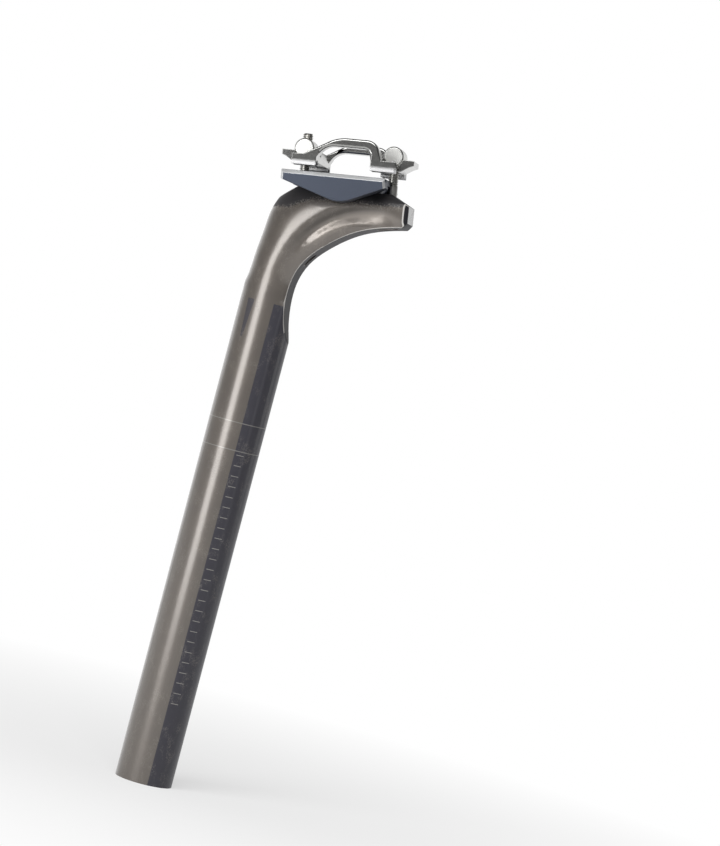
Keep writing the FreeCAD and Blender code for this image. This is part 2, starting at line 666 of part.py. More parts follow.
def make_bolt(label, side, length):
    """A socket-head cap screw, M5: its head sits below, under the post's wall, and its thread points up."""
    body = new_body(label)
    along = side + "bolt_offset"
    under = roof_text() + " - washer_thickness"
    cap = new_sketch(body, XY_ROLE, "Cap", lift=under)
    circle(cap, along, "0", "bolt_head_diameter")
    pad(body, cap, "bolt_head_height", reverse=True)
    edge = edges_near(body, lambda spot, edge: isinstance(edge.Curve, Part.Circle)
                      and spot.z < value_of(under) - 1)
    dress(body, "Fillet", edge, "bolt_head_height / 8")
    shank = new_sketch(body, XY_ROLE, "Shank", lift=under)
    circle(shank, along, "0", "bolt_diameter")
    pad(body, shank, length + " - thread_length")
    thread = new_sketch(body, XY_ROLE, "Thread", lift=under)
    circle(thread, along, "0", "thread_diameter")
    pad(body, thread, length)
    tip = edges_near(body, lambda spot, edge: isinstance(edge.Curve, Part.Circle)
                     and spot.z > value_of(under + " + " + length) - 0.01)
    dress(body, "Chamfer", tip, "thread_diameter / 8")
    socket = new_sketch(body, XY_ROLE, "Socket", lift=under + " - bolt_head_height")
    radius = "bolt_socket / sqrt(3)"
    corners = []
    for turn in range(6):
        corners.append((f"{along} + {radius} * cos({60 * turn} deg)", f"{radius} * sin({60 * turn} deg)"))
    polygon(socket, corners)
    pocket(body, socket, "bolt_socket_depth", reverse=True)
    return body


def make_washer(label, side):
    """A hardened washer between a bolt's head and the carbon."""
    body = new_body(label)
    along = side + "bolt_offset"
    disc = new_sketch(body, XY_ROLE, "Disc", lift=roof_text())
    circle(disc, along, "0", "washer_diameter")
    circle(disc, along, "0", "bolt_diameter + 2 * rail_clearance")
    pad(body, disc, "washer_thickness", reverse=True)
    rim = edges_near(body, lambda spot, edge: isinstance(edge.Curve, Part.Circle)
                     and edge.Curve.Radius > size("bolt_head_diameter") / 2
                     and spot.z < value_of(roof_text()) - 0.1)
    dress(body, "Chamfer", rim, "washer_thickness / 4")
    return body


def roof_text():
    """Height of the face that the washers bear on, as an expression."""
    return "rocker_axis_rise - rocker_radius - rocker_clearance - ceiling_thickness"


# ---------------------------------------------------------------- build, check and write

def check(parts):
    """Stop if any object of the document failed, or a piece is empty, broken or not one solid."""
    for item in doc.Objects:
        if "Invalid" in item.State or "Error" in item.State:
            raise RuntimeError(f"{item.Name} failed: {item.State}")
    for item in parts:
        shape = item.Shape
        if shape.isNull() or not shape.isValid() or len(shape.Solids) != 1:
            raise RuntimeError(f"{item.Label} is not one valid solid")


parts = [
    make_post(),
    make_cradle(),
    make_yoke(),
    make_nut("front_barrel_nut", "-"),
    make_nut("rear_barrel_nut", ""),
    make_bolt("front_bolt", "-", "bolt_length"),
    make_bolt("rear_bolt", "", "rear_bolt_length"),
    make_washer("front_washer", "-"),
    make_washer("rear_washer", ""),
]
doc.recompute()
check(parts)
os.makedirs("parts", exist_ok=True)
for item in parts:
    item.Shape.exportStep(f"parts/{item.Label}.step")
    print(item.Label, round(item.Shape.Volume, 1), "mm3")
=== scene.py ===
"""Suspension seatpost: a flexing carbon post with a set-back head and a two-bolt clamp for saddle rails.

Metres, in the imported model's frame: +Z runs up the shaft from its lower end, +X to the rear.
The clamp has its own frame: along the rails, across, and square to them.
"""

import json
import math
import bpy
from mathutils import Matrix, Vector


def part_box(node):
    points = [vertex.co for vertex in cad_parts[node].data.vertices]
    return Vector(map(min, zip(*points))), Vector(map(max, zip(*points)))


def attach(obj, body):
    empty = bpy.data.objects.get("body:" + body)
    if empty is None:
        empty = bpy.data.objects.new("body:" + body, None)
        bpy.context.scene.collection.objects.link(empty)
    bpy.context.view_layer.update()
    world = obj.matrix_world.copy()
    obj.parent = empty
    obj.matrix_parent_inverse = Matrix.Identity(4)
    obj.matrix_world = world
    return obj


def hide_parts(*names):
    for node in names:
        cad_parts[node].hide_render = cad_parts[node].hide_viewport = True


bl_info = {
    "name": "Suspension Seatpost",
    "version": (1, 0, 0),
    "blender": (4, 5, 0),
    "location": "3D View > Sidebar > Seatpost",
    "description": "Finishes a carbon suspension seatpost and its rail clamp",
    "category": "Object",
}

import bmesh
import bpy
from bpy.props import FloatProperty, FloatVectorProperty, PointerProperty
from mathutils import Matrix, Vector

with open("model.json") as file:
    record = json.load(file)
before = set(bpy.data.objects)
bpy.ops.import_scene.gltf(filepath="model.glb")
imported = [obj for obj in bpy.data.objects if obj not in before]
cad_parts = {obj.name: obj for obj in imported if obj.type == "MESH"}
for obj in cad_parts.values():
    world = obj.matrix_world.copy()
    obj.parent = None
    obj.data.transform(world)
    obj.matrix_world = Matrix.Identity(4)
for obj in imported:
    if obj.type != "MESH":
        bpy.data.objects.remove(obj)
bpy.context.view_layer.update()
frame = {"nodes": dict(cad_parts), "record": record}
NODES = frame["nodes"]
RAILS = next(mount for mount in frame["record"]["mounts"] if mount["name"] == "left_rail_clamp")

MM = 0.001
WELD = 2e-6                                # vertices nearer than this are one

# The clamp's own frame.
ALONG = Vector(RAILS["axis"])
ACROSS = Vector((0, 1, 0))
SQUARE = ALONG.cross(ACROSS)
CLAMP = Vector((RAILS["pos_m"][0], 0, RAILS["pos_m"][2]))
CLAMP_TILT = -math.atan2(ALONG.z, ALONG.x)
CLAMP_FRAME = Matrix.Translation(CLAMP) @ Matrix((ALONG, ACROSS, SQUARE)).transposed().to_4x4()

# Places on the post.
BEND_CENTRE = Vector((47, 0, 243)) * MM    # the neck's bend turns about it
NECK_FOOT = 233 * MM                       # the round shaft ends and the neck starts
PANEL_TOP = 232.4 * MM                     # upper end of the dark rear panel and of the front wedge
RINGS = (161.8 * MM, 174.8 * MM)           # printed rings
TICK_FOOT, TICK_STEP = 20 * MM, 5 * MM     # a graduation and the step to the next
COATED, SHADED_BARE, END, EDGE_HIGHLIGHT = range(4)       # the post's materials

# Places in the clamp, in millimetres.
BOLT_SEAT = -18.0                          # under the bolts' heads, from the rails' middle
HEAD_HEIGHT, SOCKET_DEPTH, SOCKET_FLATS = 5.0, 2.6, 4.0
THREAD_CREST, THREAD_ROOT = 2.48, 2.02     # radii of the M5 thread
THREAD_RUN = 0.8                           # the pitch that the thread's outline is drawn to
BOLTS = (("front", -21.0, 35.0, 20.0), ("rear", 21.0, 30.0, 16.0))    # place, length, threaded length


def linear(code):
    """An sRGB hex colour as the linear colour that a node takes."""
    out = []
    for start in (0, 2, 4):
        value = int(code[start:start + 2], 16) / 255
        out.append(value / 12.92 if value <= 0.04045 else ((value + 0.055) / 1.055) ** 2.4)
    return (*out, 1.0)


def colour_of(code, name, description):
    """A colour that a user can change."""
    return FloatVectorProperty(name=name, description=description, subtype="COLOR", size=4,
                               min=0.0, max=1.0, default=linear(code))


def length_of(value, name, description):
    """A length that a user can change."""
    return FloatProperty(name=name, description=description, default=value, unit="LENGTH", precision=5)


class CarbonLooks(bpy.types.PropertyGroup):
    """Colours of the post."""
    warm: colour_of("68625d", "Carbon", "Clear-coated carbon of the shaft and head")
    # This colour also paints the dark reflection at the front of the neck.
    cool: colour_of("3a3941", "Grip panel", "Dark matt panel down the rear of the shaft")
    # Painted shade: the head's top is drawn near-black for the shade under the clamp.
    top_shade_colour: colour_of("2b292b", "Head top", "Dull carbon on the head's top and bevels")
    marks: colour_of("8f8d89", "Graduations", "Plain graduations printed on the shaft")
    coat: FloatProperty(name="Coat", description="Strength of the clear coat", default=1.0, min=0, max=1)


class ClampLooks(bpy.types.PropertyGroup):
    """Colours and small sizes of the clamp's pieces."""
    anodised: colour_of("4b505b", "Anodised", "Matt blue-grey anodised aluminium of the lower clamp")
    machined: colour_of("e6e7e8", "Machined", "Bright edges cut after anodising")
    polished: colour_of("a9a9a7", "Polished", "Polished aluminium of the upper clamp")
    turned: colour_of("e6e6e3", "Turned", "Turned steel of the barrel nuts")
    plated: colour_of("b9b8b4", "Plated", "Plated steel of the bolts")
    washer: colour_of("8a8a88", "Washers", "Hardened steel of the washers")
    pitch: length_of(0.8 * MM, "Thread pitch", "Rise of the bolts' thread in one turn")
    break_width: length_of(0.25 * MM, "Broken edges", "Width of the small breaks on metal edges")


class StageLooks(bpy.types.PropertyGroup):
    """The camera and the lamps."""
    lean: FloatProperty(name="Lean", description="Lean of the shaft in the view", subtype="ANGLE",
                        default=math.radians(14.93))
    swing: FloatProperty(name="Swing", description="How far the camera stands behind square to the side",
                         subtype="ANGLE", default=math.radians(6.8))
    distance: length_of(1.7, "Distance", "Camera to the shaft")
    width: length_of(0.3377, "View width", "Width of the view at the shaft")
    key: FloatProperty(name="Key lamp", description="Power of the tall lamp", default=7.4, unit="POWER")
    fill: FloatProperty(name="Fill lamp", description="Power of the lamp above and in front",
                        default=5.2, unit="POWER")
    ambient: FloatProperty(name="Ambient", description="Level of the light from all round", default=0.2)


# ---------------------------------------------------------------- materials

def add(tree, kind, settings=None, **inputs):
    """A node with its settings, and its inputs set or linked.

    An input is named with underscores for spaces, or by its number after one."""
    made = tree.nodes.new("ShaderNode" + kind)
    for name, value in (settings or {}).items():
        setattr(made, name, value)
    for name, value in inputs.items():
        socket = made.inputs[int(name[1:]) if name[0] == "_" else name.replace("_", " ")]
        if isinstance(value, bpy.types.NodeSocket):
            tree.links.new(value, socket)
        else:
            socket.default_value = value
    return made


def new_material(name):
    """An empty material, its shader and the object's coordinates."""
    material = bpy.data.materials.new(name)
    material.use_nodes = True
    tree = material.node_tree
    shader = tree.nodes["Principled BSDF"]
    place = add(tree, "TexCoord").outputs["Object"]
    return material, tree, shader, place


def feed(tree, shader, **inputs):
    """Values or links for the shader's own sockets."""
    for name, value in inputs.items():
        socket = shader.inputs[name.replace("_", " ")]
        if isinstance(value, bpy.types.NodeSocket):
            tree.links.new(value, socket)
        else:
            socket.default_value = value


def maths(tree, operation, first, second=0.0, third=0.0):
    """The result of one sum on values or links."""
    return add(tree, "Math", {"operation": operation}, _0=first, _1=second, _2=third).outputs[0]


def band(tree, value, low, high, soft):
    """1 between two levels of a value, 0 outside, with soft ends."""
    rise = add(tree, "MapRange", {"clamp": True}, Value=value, From_Min=low - soft,
               From_Max=low + soft)
    fall = add(tree, "MapRange", {"clamp": True}, Value=value, From_Min=high + soft,
               From_Max=high - soft)
    return maths(tree, "MULTIPLY", rise.outputs[0], fall.outputs[0])


def mixed(tree, amount, first, second):
    """Two colours blended by an amount."""
    return add(tree, "Mix", {"data_type": "RGBA"}, _0=amount, _6=first, _7=second).outputs[2]


def noise(tree, place, grain, detail=3.0, stretch=(1, 1, 1), roughness=0.5):
    """Cloudy values from 0 to 1 whose spots are about as large as the grain."""
    mapped = add(tree, "Mapping", Vector=place, Scale=stretch).outputs[0]
    made = add(tree, "TexNoise", Vector=mapped, Scale=1 / grain, Detail=detail, Roughness=roughness)
    return made.outputs["Fac"]


def in_clamp_frame(tree, place):
    """Coordinates along the rails, across, and square to them."""
    turned = add(tree, "Mapping", {"vector_type": "TEXTURE"}, Vector=place, Location=CLAMP,
                 Rotation=(0, CLAMP_TILT, 0)).outputs[0]
    return add(tree, "SeparateXYZ", _0=turned).outputs


def share(tree, value, amount):
    """A pattern weakened to a share of itself."""
    return maths(tree, "MULTIPLY", value, amount)


def carbon_material(looks):
    """Carbon fibre moulded and clear-coated: a satin gloss over a fine warm grain along the post.

    A cool matt field runs down the rear, and a short painted dark reflection sits at the front; the top
    of the head and its bevels have no gloss and are painted dark as shade, the channel carries painted
    shade and the band under it a painted highlight.
    Fibres are too fine to show, so the grain is drawn 0.45 mm wide."""
    material, tree, shader, place = new_material("clear_coated_carbon")
    x, y, z = add(tree, "SeparateXYZ", _0=place).outputs
    u, _, n = in_clamp_frame(tree, place)
    streaks = noise(tree, place, 0.45 * MM, 4, (1, 1, 0.1), 0.65)
    cloud = noise(tree, place, 9 * MM, 4)
    specks = noise(tree, place, 0.5 * MM, 2)
    base = mixed(tree, share(tree, streaks, 0.5), looks.warm, linear("504b47"))
    base = mixed(tree, share(tree, cloud, 0.4), base, linear("766e64"))
    # The dark rear field, and a short painted dark reflection at the front that narrows and runs out
    # downwards.
    panel_and_dark_reflection = maths(tree, "MULTIPLY", band(tree, x, 4.2 * MM, 1, 0.12 * MM),
                  band(tree, z, -1, PANEL_TOP, 0.15 * MM))
    inner = maths(tree, "MULTIPLY_ADD", z, 0.08, -5.2 * MM - 0.08 * PANEL_TOP)
    outer = maths(tree, "MULTIPLY_ADD", z, -0.04, -8.5 * MM + 0.04 * PANEL_TOP)
    painted_reflection_wedge = maths(tree, "MULTIPLY", maths(tree, "LESS_THAN", x, inner),
                  maths(tree, "GREATER_THAN", x, outer))
    painted_reflection_wedge = maths(tree, "MULTIPLY", painted_reflection_wedge, band(tree, z, 214 * MM, PANEL_TOP, 0.1 * MM))
    # The mask now holds the rear field and the painted dark reflection together.
    panel_and_dark_reflection = maths(tree, "MAXIMUM", panel_and_dark_reflection, share(tree, painted_reflection_wedge, 0.85))
    base = mixed(tree, panel_and_dark_reflection, base, looks.cool)
    # Dust and fine scuffs lie where hands and weather leave them.
    patches = noise(tree, place, 6 * MM, 6, (1, 1, 0.6), 0.7)
    worn = maths(tree, "MULTIPLY", band(tree, patches, 0.56, 2, 0.05), band(tree, specks, 0.52, 2, 0.06))
    base = mixed(tree, share(tree, worn, 0.2), base, linear("a09a92"))
    # Painted shade darkens the channel along the cantilever, and a painted highlight makes the band
    # under it pale.
    out = add(tree, "VectorMath", {"operation": "SUBTRACT"}, _0=place, _1=BEND_CENTRE).outputs[0]
    flat = add(tree, "VectorMath", {"operation": "MULTIPLY"}, _0=out, _1=(1, 0, 1)).outputs[0]
    away = add(tree, "VectorMath", {"operation": "LENGTH"}, _0=flat).outputs["Value"]
    rear, _, rise = add(tree, "SeparateXYZ", _0=out).outputs
    angle = maths(tree, "ARCTAN2", rise, rear)
    painted_channel_shade = maths(tree, "MULTIPLY", band(tree, away, 44 * MM, 46.4 * MM, 1.6 * MM),
                  band(tree, angle, 1.75, 2.7, 0.25))
    painted_band_highlight = maths(tree, "MULTIPLY", band(tree, away, 38 * MM, 43 * MM, 1.3 * MM),
                   band(tree, angle, 1.62, 2.45, 0.2))
    base = mixed(tree, share(tree, painted_channel_shade, 0.65), base, linear("221f1e"))
    base = mixed(tree, share(tree, painted_band_highlight, 0.5), base, linear("b5ada5"))
    # The top of the head and its bevels have no gloss, and are painted dark as shade under the clamp;
    # their lower border carries dust.
    fall = add(tree, "MapRange", {"clamp": True}, Value=u, From_Min=-25.5 * MM, From_Max=-14.6 * MM,
               To_Min=-18.6 * MM, To_Max=-13.9 * MM).outputs[0]
    ragged = noise(tree, place, 1.6 * MM, 6, roughness=0.75)
    ragged = maths(tree, "MULTIPLY_ADD", ragged, 2.4 * MM, -1.2 * MM)
    above = maths(tree, "SUBTRACT", maths(tree, "ADD", n, ragged), fall)
    unglossed_shaded_top = band(tree, above, 0.0, 1, 0.35 * MM)
    near = band(tree, above, -1.6 * MM, 1.2 * MM, 0.8 * MM)
    dust = maths(tree, "MULTIPLY", near, band(tree, noise(tree, place, 0.7 * MM, 4), 0.55, 2, 0.05))
    base = mixed(tree, unglossed_shaded_top, base, looks.top_shade_colour)
    base = mixed(tree, share(tree, dust, 0.5), base, linear("8d8780"))
    # Two rings, and plain graduations down the shaft below them.
    low, high = (band(tree, z, ring - 0.2 * MM, ring + 0.2 * MM, 0.05 * MM) for ring in RINGS)
    rings = maths(tree, "MAXIMUM", high, low)
    steps = maths(tree, "PINGPONG", maths(tree, "SUBTRACT", z, TICK_FOOT), TICK_STEP / 2)
    ticks = maths(tree, "LESS_THAN", steps, 0.16 * MM)
    ticks = maths(tree, "MULTIPLY", ticks, band(tree, z, 39 * MM, 161 * MM, 0.05 * MM))
    ticks = maths(tree, "MULTIPLY", ticks, band(tree, x, 5.2 * MM, 8.4 * MM, 0.05 * MM))
    printed = maths(tree, "MAXIMUM", share(tree, rings, 0.7), ticks)
    base = mixed(tree, printed, base, looks.marks)
    matt = maths(tree, "MAXIMUM", maths(tree, "MAXIMUM", painted_channel_shade, painted_band_highlight),
                 maths(tree, "MAXIMUM", unglossed_shaded_top, panel_and_dark_reflection))
    rough = maths(tree, "MULTIPLY_ADD", cloud, 0.08, 0.26)
    for pattern, least in ((unglossed_shaded_top, 0.6), (worn, 0.5), (matt, 0.46)):
        rough = maths(tree, "MAXIMUM", rough, share(tree, pattern, least))
    gloss = maths(tree, "MULTIPLY_ADD", matt, -0.85 * looks.coat, looks.coat)
    bump = add(tree, "Bump", Height=streaks, Strength=0.1, Distance=0.05 * MM).outputs[0]
    plain = maths(tree, "MAXIMUM", unglossed_shaded_top, share(tree, panel_and_dark_reflection, 0.7))
    sheen = maths(tree, "MULTIPLY_ADD", plain, -0.4, 0.45)
    feed(tree, shader, Base_Color=base, Roughness=rough, Normal=bump, IOR=1.5, Metallic=sheen,
         Coat_Weight=gloss, Coat_Roughness=0.2)
    return material


def metal_material(name, colour, roughness, grain, stretch=(1, 1, 1), ground=None):
    """A metal with fine marks, its outer sides ground paler and duller below a height of the clamp.

    Real marks are hundredths of a millimetre wide, so they are drawn coarser to show."""
    material, tree, shader, place = new_material(name)
    marks = noise(tree, place, grain, 4, stretch)
    darker = (*(part * 0.6 for part in colour[:3]), 1)
    tone = mixed(tree, share(tree, marks, 0.25), colour, darker)
    rough = maths(tree, "MULTIPLY_ADD", marks, 0.12, roughness)
    if ground is not None:
        _, across, height = in_clamp_frame(tree, place)
        lower = maths(tree, "MULTIPLY", band(tree, height, -1, ground, 0.8 * MM),
                      maths(tree, "GREATER_THAN", maths(tree, "ABSOLUTE", across), 17 * MM))
        tone = mixed(tree, lower, tone, linear("cfcfd0"))
        rough = add(tree, "Mix", {"data_type": "FLOAT"}, _0=lower, _2=rough, _3=0.45).outputs[0]
    bump = add(tree, "Bump", Height=marks, Strength=0.05, Distance=0.05 * MM).outputs[0]
    feed(tree, shader, Base_Color=tone, Roughness=rough, Normal=bump, Metallic=1.0)
    return material


def bare_material(name, dark, pale, coat=0.0):
    """Carbon without the grain of the tube: matt without a coat, or with a gloss coat over it."""
    material, tree, shader, place = new_material(name)
    grain = noise(tree, place, 0.6 * MM, 4)
    base = mixed(tree, share(tree, grain, 0.4), linear(dark), linear(pale))
    bump = add(tree, "Bump", Height=grain, Strength=0.1, Distance=0.05 * MM).outputs[0]
    feed(tree, shader, Base_Color=base, Roughness=0.6, Specular_IOR_Level=0.25, Normal=bump,
         Coat_Weight=coat, Coat_Roughness=0.22)
    return material


def floor_material():
    """Plain matt white board that keeps the object's shadow and fades into the backdrop."""
    material, tree, shader, place = new_material("white_board")
    feed(tree, shader, Base_Color=(0.9, 0.9, 0.9, 1), Roughness=0.9, Specular_IOR_Level=0.0)
    path = add(tree, "LightPath").outputs
    seen = maths(tree, "MAXIMUM", path["Is Camera Ray"], path["Is Glossy Ray"])
    far = add(tree, "VectorMath", {"operation": "LENGTH"}, _0=place).outputs["Value"]
    fade = add(tree, "MapRange", {"clamp": True}, Value=far, From_Min=0.02, From_Max=0.45,
               To_Min=0.55, To_Max=1.0).outputs[0]
    glow = add(tree, "Emission", Color=(1, 1, 1, 1), Strength=1.0).outputs[0]
    both = add(tree, "MixShader", _0=maths(tree, "MULTIPLY", seen, fade), _1=shader.outputs[0],
               _2=glow).outputs[0]
    tree.links.new(both, tree.nodes["Material Output"].inputs["Surface"])
    return material


# ---------------------------------------------------------------- meshes

def in_clamp(along, up):
    """A point in the middle plane, given along the rails and square to them, in millimetres."""
    return CLAMP + (ALONG * along + SQUARE * up) * MM


def copy_of(node, flatness=0.4):
    """The node's shape as one closed mesh; faces that differ by less than some degrees are joined."""
    mesh = bmesh.new()
    mesh.from_mesh(NODES[node].data)
    bmesh.ops.remove_doubles(mesh, verts=mesh.verts, dist=WELD)
    bmesh.ops.dissolve_limit(mesh, angle_limit=math.radians(flatness), verts=mesh.verts,
                             edges=mesh.edges)
    return mesh


def close_step(mesh, level, *steps):
    """Join hair's breadth steps between pairs of round outlines at one level, which the coat fills."""
    def near(vert):
        return abs(vert.co.z - level) < 0.02 * MM

    joined = {}
    rim = [vert for vert in mesh.verts if near(vert)]
    flat = [face for face in mesh.faces if all(near(vert) for vert in face.verts)]
    bmesh.ops.triangulate(mesh, faces=flat)
    for radii in steps:
        inner, outer = ([vert for vert in rim if abs(vert.co.xy.length - radius) < 0.012 * MM]
                        for radius in radii)
        for vert in inner:
            joined[vert] = min(outer, key=lambda other: (other.co - vert.co).length)
    bmesh.ops.weld_verts(mesh, targetmap=joined)
    bmesh.ops.dissolve_degenerate(mesh, dist=0.04 * MM, edges=mesh.edges)


def corners(mesh, least, test=None):
    """Edges whose faces turn by more than an angle, and whose middle meets a test."""
    found = []
    for edge in mesh.edges:
        if len(edge.link_faces) == 2 and edge.calc_face_angle() > least:
            if test is None or test((edge.verts[0].co + edge.verts[1].co) / 2):
                found.append(edge)
    return found


def break_edges(mesh, edges, width, segments=2, material=-1):
    """Round some edges off, with a material of its own if one is given."""
    bmesh.ops.bevel(mesh, geom=edges, affect="EDGES", offset=width, offset_type="OFFSET",
                    segments=segments, profile=0.5, material=material, clamp_overlap=False,
                    loop_slide=True, miter_outer="ARC")


def finished(name, mesh, *materials, smooth=math.radians(35)):
    """An object at the origin made from a bmesh, smooth except at its corners."""
    for face in mesh.faces:
        face.smooth = True
    data = bpy.data.meshes.new(name)
    mesh.to_mesh(data)
    mesh.free()
    data.set_sharp_from_angle(angle=smooth)
    for material in materials:
        data.materials.append(material)
    item = bpy.data.objects.new(name, data)
    bpy.context.scene.collection.objects.link(item)
    return item


def even_shading(item):
    """Keep broad faces flat beside their rounded edges."""
    modifier = item.modifiers.new("even_shading", "WEIGHTED_NORMAL")
    modifier.keep_sharp = True
    return item


def true_shading(item, node, flat_slot):
    """Shade with the solid's own normals where it is smooth, and keep one material's faces flat."""
    alike = math.radians(15)

    def key(mesh, loop):
        return tuple(round(value * 1e6) for value in mesh.vertices[loop.vertex_index].co)

    solid, mesh = NODES[node].data, item.data
    known = {}
    for loop in solid.loops:
        known.setdefault(key(solid, loop), []).append(solid.corner_normals[loop.index].vector.copy())
    normals = [normal.vector.copy() for normal in mesh.corner_normals]
    for loop in mesh.loops:
        for normal in known.get(key(mesh, loop), ()):
            if normal.angle(normals[loop.index], math.pi) < alike:
                normals[loop.index] = normal
                break
    for face in mesh.polygons:
        if face.material_index == flat_slot:
            for corner in face.loop_indices:
                normals[corner] = face.normal.copy()
    mesh.normals_split_custom_set(normals)
    return item


def stand_for(item, node):
    """The piece is shown in a node's place and moves with its body."""
    bodies = frame["record"]["behaviour"]["bodies"]
    body = next(name for name, nodes in bodies.items() if node in nodes)
    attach(item, body)
    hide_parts(node)


class SEATPOST_OT_post(bpy.types.Operator):
    """Finish the carbon post"""
    bl_idname = "seatpost.post"
    bl_label = "Post"

    def execute(self, context):
        mesh = copy_of("post", 0.03)
        close_step(mesh, NECK_FOOT, (13.55 * MM, 13.6 * MM), (10.95 * MM, 11 * MM))
        # Faces that look at the bend's centre are its flat rear and underside, painted near-black as a
        # dark reflection.
        for face in mesh.faces:
            centre = face.calc_center_median()
            inwards = BEND_CENTRE - centre
            backwards = face.normal.dot(ALONG)
            if (abs(face.normal.y) < 0.35 and centre.z > 215 * MM
                    and inwards.dot(face.normal) > 0.8 * inwards.length):
                face.material_index = SHADED_BARE
            # At the head's end, the end face takes the coated end carbon, and the faces turning to it
            # take the matt carbon painted dark as a reflection.
            if (centre - CLAMP).dot(ALONG) > 29 * MM and backwards > 0.6:
                face.material_index = END if backwards > 0.98 else SHADED_BARE

        def off_step(spot):
            return spot.z > 1 * MM and (abs(spot.z - NECK_FOOT) > 0.1 * MM or spot.x > 8.5 * MM)

        def off_holes(spot):
            return off_step(spot) and abs(spot.y) > 6 * MM

        def off_port(spot):
            port = abs(spot.y) < 5 * MM and 235 * MM < spot.z < 265 * MM and spot.x > 0
            return off_step(spot) and not port

        sharp = math.radians(38)
        # Edges between the coated sides and the matt flats are rounded and take a painted highlight.
        rim = [edge for edge in corners(mesh, sharp, off_holes)
               if {face.material_index for face in edge.link_faces} == {COATED, SHADED_BARE}]
        break_edges(mesh, rim, 0.4 * MM, material=EDGE_HIGHLIGHT)
        break_edges(mesh, corners(mesh, sharp, off_port), 0.3 * MM)
        carbon = carbon_material(context.scene.carbon_looks)
        # Moulded carbon left matt and painted nearly black as a reflection of dark things below and
        # behind, with no highlight.
        shaded_bare = bare_material("dark_reflection_carbon", "26252a", "3a3839")
        # The head's end, coated over plain carbon: a mid grey that mirrors the room at a low angle.
        end = bare_material("coated_end_carbon", "625f5e", "7c7977", coat=1.0)
        # Rounded edges between the coated sides and the matt flats: a painted highlight as a thin pale
        # line.
        rim_highlight = bare_material("painted_edge_highlight", "c4c1bd", "e2dfdb")
        post = finished("carbon_post", mesh, carbon, shaded_bare, end, rim_highlight)
        stand_for(true_shading(post, "post", END), "post")
        return {"FINISHED"}


class SEATPOST_OT_cradle(bpy.types.Operator):
    """Finish the lower clamp"""
    bl_idname = "seatpost.cradle"
    bl_label = "Lower clamp"

    def execute(self, context):
        looks = context.scene.clamp_looks
        mesh = copy_of("lower_cradle")
        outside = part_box("lower_cradle")[1].y
        # The slanted borders of the side plates are cut bright.
        for face in mesh.faces:
            if 0.3 < abs(face.normal.y) < 0.9 and abs(face.calc_center_median().y) > outside - 2.5 * MM:
                face.material_index = 1
        break_edges(mesh, corners(mesh, math.radians(25)), looks.break_width)
        # Blasted and anodised aluminium: an even, matt blue-grey.
        anodised = metal_material("anodised_aluminium", looks.anodised, 0.42, 0.4 * MM)
        # Aluminium milled after anodising: bare, pale and satin.
        machined = metal_material("machined_aluminium", looks.machined, 0.5, 0.3 * MM)
        cradle = finished("rail_cradle", mesh, anodised, machined)
        stand_for(even_shading(cradle), "lower_cradle")
        return {"FINISHED"}


class SEATPOST_OT_yoke(bpy.types.Operator):
    """Finish the upper clamp"""
    bl_idname = "seatpost.yoke"
    bl_label = "Upper clamp"

    def execute(self, context):
        looks = context.scene.clamp_looks
        mesh = copy_of("upper_yoke")

        def on_arch(spot):
            """An arch's edges; on its inner side only above where the webs meet it."""
            place = CLAMP_FRAME.inverted() @ spot
            least = 6.2 if abs(place.y) > 22 * MM else 9.65
            return place.z > least * MM and abs(place.y) > 17.5 * MM

        sharp = math.radians(40)
        break_edges(mesh, corners(mesh, sharp, on_arch), 1.1 * MM, 4)
        break_edges(mesh, corners(mesh, sharp), looks.break_width)
        # Forged and polished aluminium: a soft mirror, with the lower sides of the feet ground pale.
        polished = metal_material("polished_aluminium", looks.polished, 0.12, 1.5 * MM, ground=2.9 * MM)
        stand_for(even_shading(finished("clamp_yoke", mesh, polished)), "upper_yoke")
        return {"FINISHED"}


def turned_ring(mesh, axis_spot, axis, out, profile, steps=48):
    """Spin a profile of (radius, height) pairs about an axis, in millimetres."""
    verts = [mesh.verts.new(axis_spot + (out * radius + axis * height) * MM)
             for radius, height in profile]
    edges = [mesh.edges.new(pair) for pair in zip(verts, verts[1:])]
    bmesh.ops.spin(mesh, geom=verts + edges, cent=axis_spot, axis=axis, angle=math.tau, steps=steps,
                   use_merge=True)


